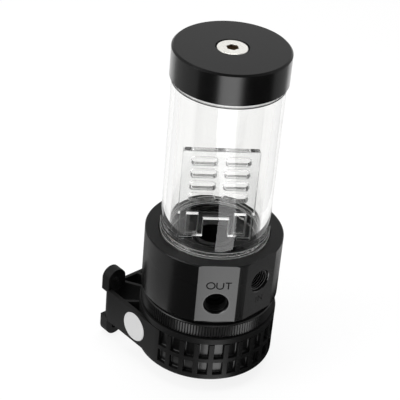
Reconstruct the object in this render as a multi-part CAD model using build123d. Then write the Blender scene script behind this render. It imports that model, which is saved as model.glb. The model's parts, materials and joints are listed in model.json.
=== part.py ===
from build123d import *
import math
import os

os.makedirs("parts", exist_ok=True)

# A liquid-cooling pump with its reservoir tube on top and a wall bracket round its motor.
# Millimetres, +Z up. The pump's axis is x = y = 0 and heights are taken from the underside of
# the bracket's cup; the finished pieces are moved to the middle of the wall screws at the end.

# Reservoir tube
tube_outer_r = 30.0
tube_wall = 5.0
tube_length = 107.2
relief_depth = 0.3
relief_width = 0.5
relief_from_edge = 0.9

# Top cap
cap_skirt = 1.2
cap_engagement = 8.0
cap_roof = 7.39
cap_chamfer = 1.0
cap_edge_break = 0.3
cap_boss_r = 11.0
cap_boss_drop = 4.0

# Fill plug, a G1/4 stopper with a hexagon socket
g14_r = 6.58
plug_head_overhang = 1.57
plug_head_height = 1.9
plug_recess_margin = 0.75
plug_below_cap_face = 0.15
plug_shank_length = 6.3
plug_socket_flats = 6.0
plug_socket_depth = 4.5
plug_edge_break = 0.3
plug_neck_inset = 0.68
plug_neck_height = 1.1

# Pump top, turned from one bar, with a flat for each port
body_step = 3.1
body_gap = 2.9
body_chamfer = 0.5
flat_depth = 1.6
out_azimuth = -127.4
in_azimuth = -86.8
out_below_volute_top = 3.2
out_thread_depth = 8.0
in_thread_depth = 10.0
port_mouth_flare = 0.37
port_mouth_depth = 0.5
port_roof = 0.92
passage_r = 4.5
passage_floor = 1.9
riser_radius = 19.0
socket_depth = 7.65
socket_mouth_chamfer = 1.0
floor_below_face = 4.0
inlet_r = 9.0
inlet_ring_wall = 2.6
inlet_ring_rise = 1.7
inlet_ring_edge = 0.4

# Volute, a spiral of four quarter arcs round the impeller
volute_growth = 1.2
impeller_rim_gap = 1.5
impeller_top_gap = 0.8
impeller_under_gap = 1.0
cutwater_lead = 32.0

# Anti-vortex baffle, one clear plate standing on the reservoir's floor
baffle_side_gap = 3.88
baffle_height = 56.3
baffle_thickness = 4.0
baffle_offset = 2.0
baffle_corner = 1.5
baffle_edge = 0.3
foot_inset = 1.0
foot_height = 16.3
door_width = 14.1
door_height = 12.9
window_width = 6.2
window_height = 12.9
window_sill = 3.1
window_inset = 7.7
slot_height = 4.2
slot_rows = 4
slot_pitch = 7.6
slot_lowest = 26.7
slot_gap = 4.0
slot_margin = 4.8

# Clamp ring with its grip ribs
ring_over_cup = 0.2
ring_height = 8.35
ring_wall = 1.9
ring_rib_depth = 0.55
ring_rib_count = 148
ring_land = 0.7
ring_land_chamfer = 0.35
ring_ledge = 1.5
neck_over_flange = 1.6

# Pump motor
motor_r = 31.0
motor_wall = 2.0
motor_cover_thickness = 2.0
cover_lip_height = 4.6
cover_lip_wall = 1.55
flange_lip = 2.6
flange_thickness = 3.0
collar_wall = 3.1
collar_height = 6.3
can_wall = 0.6
can_lip = 0.6

# Rotor and impeller
rotor_sphere_r = 21.0
rotor_gap = 0.6
magnet_depth = 14.5
magnet_rise = 3.0
magnet_fit = 0.2
ball_r = 3.5
post_r = 2.2
post_foot_r = 5.0
post_foot_height = 1.0
bearing_cup_r = 6.0
bearing_cup_height = 5.5
impeller_set_back = 0.5
impeller_base = 2.0
vane_height = 8.3
vane_thickness = 1.2
vane_count = 6
vane_curve_r = 14.0
vane_inner_r = 7.0
shroud_thickness = 1.2
eye_r = 9.0
hub_r = 8.0
hub_nose_r = 2.0
hub_height = 5.5

# Stator and driver board
stator_yoke = 3.6
stator_height = 14.0
pole_count = 6
pole_width = 8.0
pole_height = 12.0
pole_inner_r = 12.0
coil_length = 4.4
coil_build = 2.3
coil_corner = 1.5
coil_back_gap = 0.2
board_thickness = 1.6
board_ledge = 1.0
driver_length = 6.0
driver_width = 5.0
driver_height = 1.2
driver_count = 4
driver_inset = 11.0
capacitor_r = 1.0
capacitor_length = 1.7
capacitor_radius = 8.0
capacitor_count = 3

# Bracket: cup, arms, back plate, ribs and ears in one moulding
cup_wall = 4.65
cup_floor = 2.2
cup_floor_lip = 6.0
cup_bottom_round = 1.3
pocket_depth = 2.35
pocket_pitch = 12.4
pocket_angle = 8.2
pocket_columns = 14
pocket_round = 0.6
pocket_sill = 3.8
lower_pocket_height = 8.5
pocket_bar = 2.4
upper_pocket_height = 9.7
rim_band = 4.1
rim_groove_height = 0.6
rim_groove_depth = 0.8
arm_bottom = 3.4
arm_thickness = 2.4
plate_thickness = 2.0
cup_to_wall = 8.95
corner_r = 6.5
rib_thickness = 1.8
rib_azimuths = (16.3, 30.0, 51.7)
ear_r = 6.0
ear_thickness = 6.0
ear_inset = 5.95
ear_bite = 1.5
bolt_rise = 33.0
bolts_over_arm_middle = 0.2
bolt_hole_r = 2.15
badge_r = 8.8
badge_along = 17.8
badge_below_arm_middle = 0.2
badge_thickness = 1.0
badge_recess = 0.8
badge_edge = 0.25

# Seals, sleeve, pad and the cable's grommet
cap_seal_section = 0.95
base_seal_section = 0.95
plug_seal_section = 0.75
pump_seal_section = 1.25
sleeve_thickness = 2.4
sleeve_height = 24.8
pad_thickness = 1.2
pad_set_back = 1.0
grommet_r = 4.0
grommet_flange_r = 5.5
grommet_flange = 1.0
grommet_length = 5.2
grommet_bore_r = 2.6
grommet_inset = 3.5
grommet_azimuth = 90.0

# Clearances
seal_gap = 0.03
slide_gap = 0.15
thread_gap = 0.10
ease = 0.3
bearing_gap = 0.05
overcut = 1.0

# Radii, outwards from the rotor
can_inner_r = rotor_sphere_r + rotor_gap
can_outer_r = can_inner_r + can_wall
collar_bore_r = can_outer_r + ease
collar_r = collar_bore_r + collar_wall
neck_bore_r = collar_r + ease
seal_groove_r = neck_bore_r + 2 * pump_seal_section
impeller_r = rotor_sphere_r - impeller_set_back
volute_start_r = impeller_r + impeller_rim_gap
magnet_bore_r = bearing_cup_r + magnet_fit
motor_inner_r = motor_r - motor_wall
stator_r = motor_inner_r - ease
yoke_inner_r = stator_r - stator_yoke
cover_lip_r = motor_inner_r - slide_gap
board_r = cover_lip_r - cover_lip_wall - ease
driver_radius = board_r - driver_inset
flange_r = motor_r + flange_lip
ring_ledge_r = motor_r + ease
thread_neck_r = flange_r + neck_over_flange
ring_root_r = thread_neck_r + thread_gap + ring_wall
ring_rib_r = ring_root_r + ring_rib_depth
body_r = thread_neck_r + body_step
flat_distance = body_r - flat_depth
cup_inner_r = motor_r + ease + sleeve_thickness + ease
cage_r = cup_inner_r + cup_wall
pocket_floor_r = cage_r - pocket_depth
cup_opening_r = motor_r - cup_floor_lip
grommet_radius = cup_opening_r - grommet_flange_r - grommet_inset
tube_inner_r = tube_outer_r - tube_wall
tube_mid_r = (tube_outer_r + tube_inner_r) / 2
cap_r = tube_outer_r + cap_skirt
inlet_ring_r = inlet_r + inlet_ring_wall
port_mouth_r = g14_r + port_mouth_flare
plug_head_r = g14_r + plug_head_overhang
plug_recess_r = plug_head_r + plug_recess_margin
plug_neck_r = g14_r - plug_neck_inset
plug_seal_r = plug_neck_r + plug_seal_section + seal_gap

# Heights, upwards from the cup's underside
motor_bottom = cup_floor + pad_thickness
cover_top = motor_bottom + motor_cover_thickness
board_bottom = cover_top + board_ledge
board_top = board_bottom + board_thickness
stator_bottom = cover_top + cover_lip_height
stator_top = stator_bottom + stator_height
lower_row = (pocket_sill, pocket_sill + lower_pocket_height)
upper_row = (lower_row[1] + pocket_bar, lower_row[1] + pocket_bar + upper_pocket_height)
arm_top = upper_row[1]
arm_middle = (arm_bottom + arm_top) / 2
cage_rim = arm_top + rim_band
ring_bottom = cage_rim + ring_over_cup
ring_top = ring_bottom + ring_height
flange_bottom = ring_bottom + ring_ledge
flange_top = flange_bottom + flange_thickness
seal_groove_height = 2 * (pump_seal_section + seal_gap)
sphere_height = flange_top + collar_height
magnet_bottom = sphere_height - magnet_depth
bearing_cup_top = sphere_height + bearing_cup_height
impeller_bottom = sphere_height + magnet_rise
vane_bottom = impeller_bottom + impeller_base
shroud_bottom = vane_bottom + vane_height
shroud_top = shroud_bottom + shroud_thickness
volute_bottom = impeller_bottom - impeller_under_gap
volute_top = shroud_top + impeller_top_gap
out_height = volute_top - out_below_volute_top
in_height = volute_top + passage_floor + passage_r
body_bottom = ring_top + body_gap
socket_bottom = in_height + g14_r + port_roof
body_top = socket_bottom + socket_depth
body_height = body_top - body_bottom
floor_height = body_top - floor_below_face
tube_bottom = socket_bottom + 2 * (base_seal_section + seal_gap)
tube_top = tube_bottom + tube_length
cap_bottom = tube_top - cap_engagement
cap_inside = tube_top + 2 * (cap_seal_section + seal_gap)
cap_top = cap_inside + cap_roof
plug_head_top = cap_top - plug_below_cap_face
plug_head_bottom = plug_head_top - plug_head_height
plug_recess_floor = plug_head_bottom - 2 * (plug_seal_section + seal_gap)

# Places in plan
wall_distance = cage_r + cup_to_wall
ear_inner = wall_distance - ear_thickness
ear_x = cage_r - ear_inset
bolt_centre_height = arm_middle + bolts_over_arm_middle
badge_height = arm_middle - badge_below_arm_middle
baffle_face = baffle_offset + baffle_thickness / 2
baffle_half_width = math.sqrt(tube_inner_r ** 2 - baffle_face ** 2) - baffle_side_gap
slot_length = baffle_half_width - slot_margin - slot_gap / 2
coil_half_width = pole_width / 2 + coil_build
coil_outer_r = math.sqrt(yoke_inner_r ** 2 - coil_half_width ** 2) - coil_back_gap
origin_shift = Pos(0, -wall_distance, -bolt_centre_height)


def disc(radius, bottom, top, x=0.0, y=0.0):
    """An upright cylinder between two heights."""
    return Pos(x, y, (bottom + top) / 2) * Cylinder(radius, top - bottom)


def ring(outer, inner, bottom, top):
    """An upright ring between two heights."""
    return disc(outer, bottom, top) - disc(inner, bottom, top)


def o_ring(radius, section, bottom):
    """A round-section seal resting just above a height."""
    return Pos(0, 0, bottom + seal_gap + section) * Torus(radius, section)


def block(x0, x1, y0, y1, z0, z1):
    """A box between named limits."""
    centre = Pos((x0 + x1) / 2, (y0 + y1) / 2, (z0 + z1) / 2)
    return centre * Box(x1 - x0, y1 - y0, z1 - z0)


def edges_at(solid, height, radius):
    """The round edges of one radius at one height."""
    near = 0.01
    found = solid.edges().filter_by(GeomType.CIRCLE)
    return [e for e in found if abs(e.center().Z - height) < near and abs(e.radius - radius) < near]


def facing(azimuth, height, distance):
    """A place on the pump's side whose Z axis points outwards at one azimuth."""
    angle = math.radians(azimuth)
    outward = (math.cos(angle), math.sin(angle), 0)
    spot = (distance * outward[0], distance * outward[1], height)
    return Location(Plane(origin=spot, x_dir=(-outward[1], outward[0], 0), z_dir=outward))


def inward_bore(azimuth, height, distance, radius, depth):
    """A round cut that starts at one distance from the axis and runs inwards."""
    return facing(azimuth, height, distance) * Pos(0, 0, -depth / 2) * Cylinder(radius, depth)


def make_tube():
    tube = ring(tube_outer_r, tube_inner_r, tube_bottom, tube_top)
    groove_floor = tube_outer_r - relief_depth
    upper = cap_bottom - relief_from_edge - relief_width
    lower = body_top + relief_from_edge
    for start in (upper, lower):
        tube -= ring(cap_r, groove_floor, start, start + relief_width)
    return tube


def make_top_cap():
    cap = disc(cap_r, cap_bottom, cap_top)
    cap = chamfer(edges_at(cap, cap_top, cap_r), cap_chamfer)
    cap = chamfer(edges_at(cap, cap_bottom, cap_r), cap_edge_break)
    cap -= disc(tube_outer_r + thread_gap, cap_bottom, cap_inside)
    cap += disc(cap_boss_r, cap_inside - cap_boss_drop, cap_inside)
    cap -= disc(g14_r, cap_inside - cap_boss_drop, cap_top)
    return cap - disc(plug_recess_r, plug_recess_floor, cap_top)


def make_fill_plug():
    head = disc(plug_head_r, plug_head_bottom, plug_head_top)
    head = chamfer(edges_at(head, plug_head_top, plug_head_r), plug_edge_break)
    neck = disc(plug_neck_r, plug_recess_floor - plug_neck_height, plug_head_bottom)
    shank_top = plug_recess_floor - plug_neck_height
    shank = disc(g14_r - thread_gap, shank_top - plug_shank_length, shank_top)
    shank = chamfer(edges_at(shank, shank_top - plug_shank_length, g14_r - thread_gap), plug_edge_break)
    socket = RegularPolygon(plug_socket_flats / 2, 6, major_radius=False)
    socket_cut = extrude(Pos(0, 0, plug_head_top - plug_socket_depth) * socket, plug_socket_depth)
    return head + neck + shank - socket_cut


def volute_outline():
    """Four quarter arcs, each wider than the last by one step, closed by the cutwater."""
    centre = Vector(volute_growth / 2, volute_growth / 2)
    radius = volute_start_r
    curves = []
    angle = 0.0
    for _ in range(4):
        curves.append(CenterArc((centre.X, centre.Y), radius, angle, 90))
        angle += 90
        step = Vector(math.cos(math.radians(angle)), math.sin(math.radians(angle))) * volute_growth
        centre = centre - step
        radius += volute_growth
    curves.append(Line(curves[-1] @ 1, curves[0] @ 0))
    return Rot(0, 0, out_azimuth + cutwater_lead) * make_face(curves)


def port(azimuth, height, depth):
    """A threaded port with its eased mouth, cut into a flat."""
    bore = inward_bore(azimuth, height, flat_distance, g14_r, depth)
    mouth = facing(azimuth, height, flat_distance) * Pos(0, 0, -port_mouth_depth / 2)
    return bore + mouth * Cone(g14_r, port_mouth_r, port_mouth_depth)


def make_pump_top():
    body = disc(body_r, body_bottom, body_top)
    body = chamfer(edges_at(body, body_top, body_r), body_chamfer)
    beyond = body_r - flat_distance
    for azimuth in (out_azimuth, in_azimuth):
        slab = facing(azimuth, body_bottom + body_height / 2, flat_distance + beyond / 2)
        body -= slab * Box(body_r, body_height, beyond)
    body += disc(thread_neck_r, flange_top, body_bottom)
    # Reservoir side
    body -= ring(tube_outer_r + slide_gap, tube_inner_r - slide_gap, socket_bottom, body_top)
    body -= disc(tube_inner_r, floor_height, body_top)
    mouth_r = tube_outer_r + slide_gap
    mouth = Pos(0, 0, body_top - socket_mouth_chamfer / 2)
    body -= mouth * Cone(mouth_r, mouth_r + socket_mouth_chamfer, socket_mouth_chamfer)
    ring_top_height = floor_height + inlet_ring_rise
    eye = disc(inlet_ring_r, volute_top, ring_top_height)
    eye = chamfer(edges_at(eye, ring_top_height, inlet_ring_r), inlet_ring_edge)
    body += eye
    body -= disc(inlet_r, volute_top, ring_top_height)
    rim = Pos(0, 0, ring_top_height - inlet_ring_edge / 2)
    body -= rim * Cone(inlet_r, inlet_r + inlet_ring_edge, inlet_ring_edge)
    # Pump side
    body -= disc(seal_groove_r, flange_top, flange_top + seal_groove_height)
    body -= disc(neck_bore_r, flange_top, volute_bottom)
    body -= extrude(Pos(0, 0, volute_bottom) * volute_outline(), volute_top - volute_bottom)
    # Ports and their passages
    body -= port(out_azimuth, out_height, out_thread_depth)
    outlet_start = flat_distance - out_thread_depth
    body -= inward_bore(out_azimuth, out_height, outlet_start, passage_r, outlet_start - volute_start_r)
    body -= port(in_azimuth, in_height, in_thread_depth)
    return_start = flat_distance - in_thread_depth
    body -= inward_bore(in_azimuth, in_height, return_start, passage_r, return_start - riser_radius)
    angle = math.radians(in_azimuth)
    riser = (riser_radius * math.cos(angle), riser_radius * math.sin(angle))
    return body - disc(passage_r, in_height, floor_height, riser[0], riser[1])


def make_baffle():
    """The plate is drawn upright in XZ, then turned to face the outlet port.

    Its foot is narrower than its top and has a notch that clears the inlet's raised ring.
    """
    plate = Pos(0, baffle_height / 2) * Rectangle(2 * baffle_half_width, baffle_height)
    top_corners = plate.vertices().group_by(Axis.Y)[-1]
    plate = fillet(top_corners, baffle_corner)
    plate -= Pos(0, door_height / 2) * Rectangle(door_width, door_height)
    notch_height = inlet_ring_rise + ease
    plate -= Pos(0, notch_height / 2) * Rectangle(2 * (inlet_ring_r + ease), notch_height)
    window = Rectangle(window_width, window_height)
    slot = SlotOverall(slot_length, slot_height)
    for side in (-1, 1):
        shoulder = Rectangle(2 * foot_inset, foot_height)
        plate -= Pos(side * baffle_half_width, foot_height / 2) * shoulder
        window_x = side * (baffle_half_width - window_inset)
        plate -= Pos(window_x, window_sill + window_height / 2) * window
        for row in range(slot_rows):
            across = side * (slot_length + slot_gap) / 2
            plate -= Pos(across, slot_lowest + row * slot_pitch) * slot
    solid = extrude(Plane.XZ * plate, baffle_thickness / 2, both=True)
    faces = solid.faces().group_by(Axis.Y)
    rims = [edge for group in (faces[0], faces[-1]) for face in group for edge in face.edges()]
    solid = chamfer(rims, baffle_edge)
    turn = Rot(0, 0, out_azimuth + 90)
    return turn * Pos(0, -baffle_offset, floor_height) * solid


def rib_outline():
    """The grip ribs are the teeth of one star-shaped outline."""
    step = 2 * math.pi / ring_rib_count
    points = []
    for k in range(ring_rib_count):
        for radius, shift in ((ring_rib_r, 0.0), (ring_root_r, step / 2)):
            angle = k * step + shift
            points.append((radius * math.cos(angle), radius * math.sin(angle)))
    return make_face(Polyline(*points, close=True))


def make_clamp_ring():
    band = extrude(Pos(0, 0, ring_bottom + ring_land) * rib_outline(), ring_height - 2 * ring_land)
    lands = disc(ring_root_r, ring_bottom, ring_top)
    for height in (ring_bottom, ring_top):
        lands = chamfer(edges_at(lands, height, ring_root_r), ring_land_chamfer)
    nut = band + lands
    nut -= disc(thread_neck_r + thread_gap, flange_bottom, ring_top)
    return nut - disc(ring_ledge_r, ring_bottom, flange_bottom)


def make_motor_housing():
    shell = disc(motor_r, cover_top, flange_bottom)
    shell += disc(flange_r, flange_bottom, flange_top)
    shell += disc(collar_r, flange_top, sphere_height)
    shell -= disc(motor_inner_r, cover_top, flange_bottom)
    return shell - disc(collar_bore_r, flange_bottom, sphere_height)


def make_separation_can():
    centre = Pos(0, 0, sphere_height)
    lower_half = block(-cage_r, cage_r, -cage_r, cage_r, 0, sphere_height)
    bowl = (centre * Sphere(can_outer_r) - centre * Sphere(can_inner_r)) & lower_half
    return bowl + ring(collar_r, can_inner_r, sphere_height, sphere_height + can_lip)


def make_bearing_post():
    foot = sphere_height - can_inner_r
    centre = Pos(0, 0, sphere_height)
    post = disc(post_r, foot, sphere_height)
    post += disc(post_foot_r, foot, foot + post_foot_height)
    return (post & centre * Sphere(can_inner_r)) - centre * Sphere(ball_r)


def make_bearing_cup():
    cup = disc(bearing_cup_r, sphere_height, bearing_cup_top)
    return cup - Pos(0, 0, sphere_height) * Sphere(ball_r + bearing_gap)


def make_rotor_magnet():
    ball = Pos(0, 0, sphere_height) * Sphere(rotor_sphere_r)
    slab = disc(rotor_sphere_r, magnet_bottom, impeller_bottom)
    return (ball & slab) - disc(magnet_bore_r, magnet_bottom, impeller_bottom)


def vane():
    """One curved blade: a short stretch of a thin ring whose centre lies beside the axis."""
    thin = Circle(vane_curve_r + vane_thickness / 2) - Circle(vane_curve_r - vane_thickness / 2)
    thin = Pos(vane_curve_r, 0) * thin
    swept = Circle(impeller_r) - Circle(vane_inner_r)
    reach = 2 * impeller_r
    one_side = Pos(0, reach / 2) * Rectangle(2 * reach, reach)
    return thin & swept & one_side


def make_impeller():
    wheel = disc(impeller_r, impeller_bottom, vane_bottom)
    nose = Pos(0, 0, vane_bottom + hub_height / 2)
    wheel += nose * Cone(hub_r, hub_nose_r, hub_height)
    blade = extrude(Pos(0, 0, vane_bottom) * vane(), vane_height)
    for k in range(vane_count):
        wheel += Rot(0, 0, k * 360 / vane_count) * blade
    wheel += ring(impeller_r, eye_r, shroud_bottom, shroud_top)
    return wheel - disc(bearing_cup_r + slide_gap, impeller_bottom, bearing_cup_top + seal_gap)


def can_room():
    """The space that the stator leaves round the separation can."""
    return Pos(0, 0, sphere_height) * Sphere(can_outer_r + ease)


def make_stator_core():
    core = ring(stator_r, yoke_inner_r, stator_bottom, stator_top)
    for k in range(pole_count):
        pole = block(pole_inner_r, stator_r - stator_yoke / 2, -pole_width / 2, pole_width / 2,
                     stator_top - pole_height, stator_top)
        core += Rot(0, 0, k * 360 / pole_count) * pole
    return core - can_room()


def make_stator_coils():
    """One wound coil round each pole."""
    inner = Rectangle(pole_width + ease, pole_height + ease)
    outer = RectangleRounded(2 * coil_half_width, pole_height + 2 * coil_build, coil_corner)
    winding = extrude(outer - inner, coil_length)
    coils = []
    for k in range(pole_count):
        place = facing(k * 360 / pole_count, stator_top - pole_height / 2, coil_outer_r - coil_length)
        coils.append(place * winding - can_room())
    return Compound(coils)


def make_motor_cover():
    cover = disc(motor_r, motor_bottom, cover_top)
    inner_wall = board_r + ease
    cover += ring(cover_lip_r, inner_wall, cover_top, stator_bottom)
    cover += ring(inner_wall, board_r - board_ledge, cover_top, board_bottom)
    angle = math.radians(grommet_azimuth)
    x, y = grommet_radius * math.cos(angle), grommet_radius * math.sin(angle)
    return cover - disc(grommet_r + slide_gap, motor_bottom, cover_top, x, y)


def make_circuit_board():
    board = disc(board_r, board_bottom, board_top)
    angle = math.radians(grommet_azimuth)
    x, y = grommet_radius * math.cos(angle), grommet_radius * math.sin(angle)
    return board - disc(grommet_flange_r + ease, board_bottom, board_top, x, y)


def make_board_components():
    """Driver chips and capacitors, soldered on the board's upper face."""
    chips = []
    for k in range(driver_count):
        place = Pos(driver_radius, 0, board_top + driver_height / 2)
        chip = place * Box(driver_length, driver_width, driver_height)
        chips.append(Rot(0, 0, (k + 0.5) * 360 / driver_count) * chip)
    for k in range(capacitor_count):
        capacitor = disc(capacitor_r, board_top, board_top + capacitor_length, capacitor_radius, 0)
        chips.append(Rot(0, 0, k * 360 / capacitor_count) * capacitor)
    return Compound(chips)


def make_cable_grommet():
    """A rubber grommet clipped in the motor's cover, with its hole for the lead."""
    angle = math.radians(grommet_azimuth)
    x, y = grommet_radius * math.cos(angle), grommet_radius * math.sin(angle)
    stem_top = cover_top + grommet_flange + seal_gap
    stem_bottom = stem_top - grommet_length
    grommet = disc(grommet_r, stem_bottom, stem_top, x, y)
    lower_face = motor_bottom - seal_gap
    grommet += disc(grommet_flange_r, lower_face - grommet_flange, lower_face, x, y)
    grommet += disc(grommet_flange_r, cover_top + seal_gap, stem_top, x, y)
    return grommet - disc(grommet_bore_r, stem_bottom, stem_top, x, y)


def pocket(row):
    """One shallow pocket of the cup's grid, as a sector of a ring."""
    low, high = row
    deep = pocket_depth + overcut
    profile = Plane.XZ * Pos(pocket_floor_r + deep / 2, (low + high) / 2) * Rectangle(deep, high - low)
    sector = revolve(profile, Axis.Z, pocket_angle)
    back = sector.faces().filter_by(GeomType.CYLINDER).sort_by(lambda face: face.area)[0]
    sector = fillet(back.edges(), pocket_round)
    return Rot(0, 0, -pocket_angle / 2) * sector


def make_cup():
    """The round cup with two rows of pockets round its front."""
    cup = disc(cage_r, 0, cage_rim)
    cup = fillet(edges_at(cup, 0, cage_r), cup_bottom_round)
    cup -= ring(cage_r + overcut, cage_r - rim_groove_depth, arm_top, arm_top + rim_groove_height)
    for row in (lower_row, upper_row):
        one = pocket(row)
        for k in range(pocket_columns):
            azimuth = -90 + (k - (pocket_columns - 1) / 2) * pocket_pitch
            cup -= Rot(0, 0, azimuth) * one
    return cup


def bracket_outline():
    """The filled outline of the two arms and the back plate, seen from above."""
    outline = Pos(0, wall_distance / 2) * Rectangle(2 * cage_r, wall_distance)
    return fillet(outline.vertices().group_by(Axis.Y)[-1], corner_r)


def make_ear(side, upward):
    """A round-ended screw ear, above the arms or below them."""
    x = side * ear_x
    z = bolt_centre_height + upward * bolt_rise / 2
    arm_edge = arm_top if upward > 0 else arm_bottom
    middle = (ear_inner + wall_distance) / 2
    lying = Pos(x, middle, z) * Rot(90, 0, 0)
    root = sorted((z, arm_edge - upward * ear_bite))
    ear = lying * Cylinder(ear_r, ear_thickness)
    return ear + block(x - ear_r, x + ear_r, ear_inner, wall_distance, root[0], root[1])


def make_mount_bracket():
    height = arm_top - arm_bottom
    filled = extrude(Pos(0, 0, arm_bottom) * bracket_outline(), height)
    inner_y = wall_distance - plate_thickness
    inside = Pos(0, inner_y / 2) * Rectangle(2 * (cage_r - arm_thickness), inner_y)
    inside = fillet(inside.vertices().group_by(Axis.Y)[-1], corner_r - arm_thickness)
    frame = filled - extrude(Pos(0, 0, arm_bottom) * inside, height)
    for azimuth in rib_azimuths:
        for side in (-1, 1):
            reach = 2 * wall_distance
            rib = block(-rib_thickness / 2, rib_thickness / 2, cup_inner_r, reach, arm_bottom, arm_top)
            frame += (Rot(0, 0, side * azimuth) * rib) & filled
    bracket = make_cup() + frame
    for side in (-1, 1):
        for upward in (-1, 1):
            bracket += make_ear(side, upward)
    bracket -= disc(cup_inner_r, cup_floor, cage_rim)
    bracket -= disc(cup_opening_r, 0, cup_floor)
    for side in (-1, 1):
        for upward in (-1, 1):
            z = bolt_centre_height + upward * bolt_rise / 2
            hole = Pos(side * ear_x, wall_distance, z) * Rot(90, 0, 0)
            bracket -= hole * Cylinder(bolt_hole_r, 2 * ear_thickness)
    seat = Pos(-cage_r, badge_along, badge_height) * Rot(0, 90, 0)
    return bracket - seat * Cylinder(badge_r + thread_gap, 2 * badge_recess)


def make_badge():
    """A plain round disc let into the arm."""
    badge = Cylinder(badge_r, badge_thickness)
    badge = chamfer(edges_at(badge, badge_thickness / 2, badge_r), badge_edge)
    outer = -cage_r + badge_recess - badge_thickness / 2
    return Pos(outer, badge_along, badge_height) * Rot(0, -90, 0) * badge


def make_sleeve():
    outer = cup_inner_r - ease
    return ring(outer, outer - sleeve_thickness, cup_floor, cup_floor + sleeve_height)


def make_base_pad():
    return ring(motor_r, cup_opening_r + pad_set_back, cup_floor, motor_bottom)


def make_pump_seal():
    """The seal that the flange presses into the pump top's groove, a little under its size."""
    section = pump_seal_section - seal_gap
    return o_ring(neck_bore_r + section, section, flange_top)


pieces = {
    "top_cap": make_top_cap(),
    "cap_seal": o_ring(tube_mid_r, cap_seal_section, tube_top),
    "fill_plug": make_fill_plug(),
    "fill_plug_seal": o_ring(plug_seal_r, plug_seal_section, plug_recess_floor),
    "reservoir_tube": make_tube(),
    "tube_base_seal": o_ring(tube_mid_r, base_seal_section, socket_bottom),
    "anti_vortex_baffle": make_baffle(),
    "pump_top": make_pump_top(),
    "clamp_ring": make_clamp_ring(),
    "pump_seal": make_pump_seal(),
    "motor_housing": make_motor_housing(),
    "separation_can": make_separation_can(),
    "bearing_post": make_bearing_post(),
    "bearing_ball": Pos(0, 0, sphere_height) * Sphere(ball_r),
    "bearing_cup": make_bearing_cup(),
    "rotor_magnet": make_rotor_magnet(),
    "impeller": make_impeller(),
    "stator_core": make_stator_core(),
    "stator_coils": make_stator_coils(),
    "circuit_board": make_circuit_board(),
    "board_components": make_board_components(),
    "motor_cover": make_motor_cover(),
    "cable_grommet": make_cable_grommet(),
    "vibration_sleeve": make_sleeve(),
    "base_pad": make_base_pad(),
    "mount_bracket": make_mount_bracket(),
    "badge_disc": make_badge(),
}

for name, piece in pieces.items():
    placed = origin_shift * piece
    export_step(placed, f"parts/{name}.step")
    size = placed.bounding_box().size
    print(f"{name}: {len(placed.solids())} solids, {size.X:.1f} x {size.Y:.1f} x {size.Z:.1f} mm")
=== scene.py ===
import json
import math

import bmesh
import bpy
from mathutils import Matrix, Vector


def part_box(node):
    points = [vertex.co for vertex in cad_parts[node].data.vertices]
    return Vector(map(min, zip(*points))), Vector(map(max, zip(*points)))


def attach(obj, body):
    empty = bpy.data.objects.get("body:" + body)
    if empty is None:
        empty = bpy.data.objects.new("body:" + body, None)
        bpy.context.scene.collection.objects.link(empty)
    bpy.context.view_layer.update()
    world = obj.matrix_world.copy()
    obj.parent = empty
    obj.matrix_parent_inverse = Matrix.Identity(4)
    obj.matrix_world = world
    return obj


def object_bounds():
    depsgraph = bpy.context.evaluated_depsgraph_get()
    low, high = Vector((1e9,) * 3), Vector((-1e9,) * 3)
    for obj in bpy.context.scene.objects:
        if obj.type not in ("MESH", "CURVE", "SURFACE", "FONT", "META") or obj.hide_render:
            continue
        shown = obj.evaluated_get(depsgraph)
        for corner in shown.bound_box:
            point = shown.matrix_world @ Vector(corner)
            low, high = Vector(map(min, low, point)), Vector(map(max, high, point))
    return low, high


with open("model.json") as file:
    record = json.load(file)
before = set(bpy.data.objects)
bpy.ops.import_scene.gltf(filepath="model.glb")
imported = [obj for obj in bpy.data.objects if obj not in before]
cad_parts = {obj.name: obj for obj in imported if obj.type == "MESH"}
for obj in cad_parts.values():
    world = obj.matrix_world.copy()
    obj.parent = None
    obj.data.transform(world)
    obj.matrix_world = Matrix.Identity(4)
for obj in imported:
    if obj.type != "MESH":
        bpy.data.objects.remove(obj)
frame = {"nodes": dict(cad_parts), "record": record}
cad_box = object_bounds()

# Sizes in metres, in the part's own frame
mm = 0.001
nodes = frame["nodes"]
mounts = {mount["name"]: mount for mount in frame["record"]["mounts"]}
cap_low, cap_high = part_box("top_cap")
tube_low, tube_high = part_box("reservoir_tube")
cup_low, cup_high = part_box("mount_bracket")
pump_top_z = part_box("pump_top")[1].z
plug_top_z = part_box("fill_plug")[1].z
pump_axis = Vector(((cap_low.x + cap_high.x) / 2, (cap_low.y + cap_high.y) / 2, 0))
pump_middle = Vector((0, pump_axis.y, 0.08))
tube_r = (tube_high.x - tube_low.x) / 2
cup_r = (cup_high.x - cup_low.x) / 2
floor_z = cad_box[0].z - 0.2 * mm

# Camera at the photograph's angle
camera_place = Vector((-0.4551, -0.5047, 0.4923))
camera_pan = math.radians(-44.04)
camera_tilt = math.radians(32.63)
camera_roll = math.radians(5.25)
camera_lens = 126.83
sensor_width = 36.0

# Port threads, G1/4. A port's mouth lies behind its flat, and a burnished lip runs round it.
thread_pitch = 1.337 * mm
thread_width = 0.5 * thread_pitch
thread_depth = 0.78 * mm
# Depth of the band round the thread's crests whose lighter colour is a painted highlight
crest_highlight_depth = 0.75 * thread_depth
thread_sink = 0.03 * mm
thread_below_mouth = 0.3 * mm
thread_steps = 64
mouth_sink = 0.5 * mm
lip_width = 0.9 * mm

# A coil's crest runs out to this share of its height, over this share of a turn
coil_end = 0.05
coil_run_out = 0.25

# Thread and turned shoulders of the reservoir tube where they show: heights are above the pump top, and the
# drop is below the cap's edge
tube_steps = 128
tube_thread_pitch = 1.0 * mm
tube_thread_width = 0.7 * tube_thread_pitch
tube_thread_depth = 0.15 * mm
tube_thread_low = 0.9 * mm
tube_thread_high = 3.0 * mm
shoulder_width = 0.4 * mm
shoulder_depth = 0.25 * mm
low_shoulder_height = 0.3 * mm
high_shoulder_height = 3.6 * mm
top_shoulder_drop = 1.9 * mm

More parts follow.
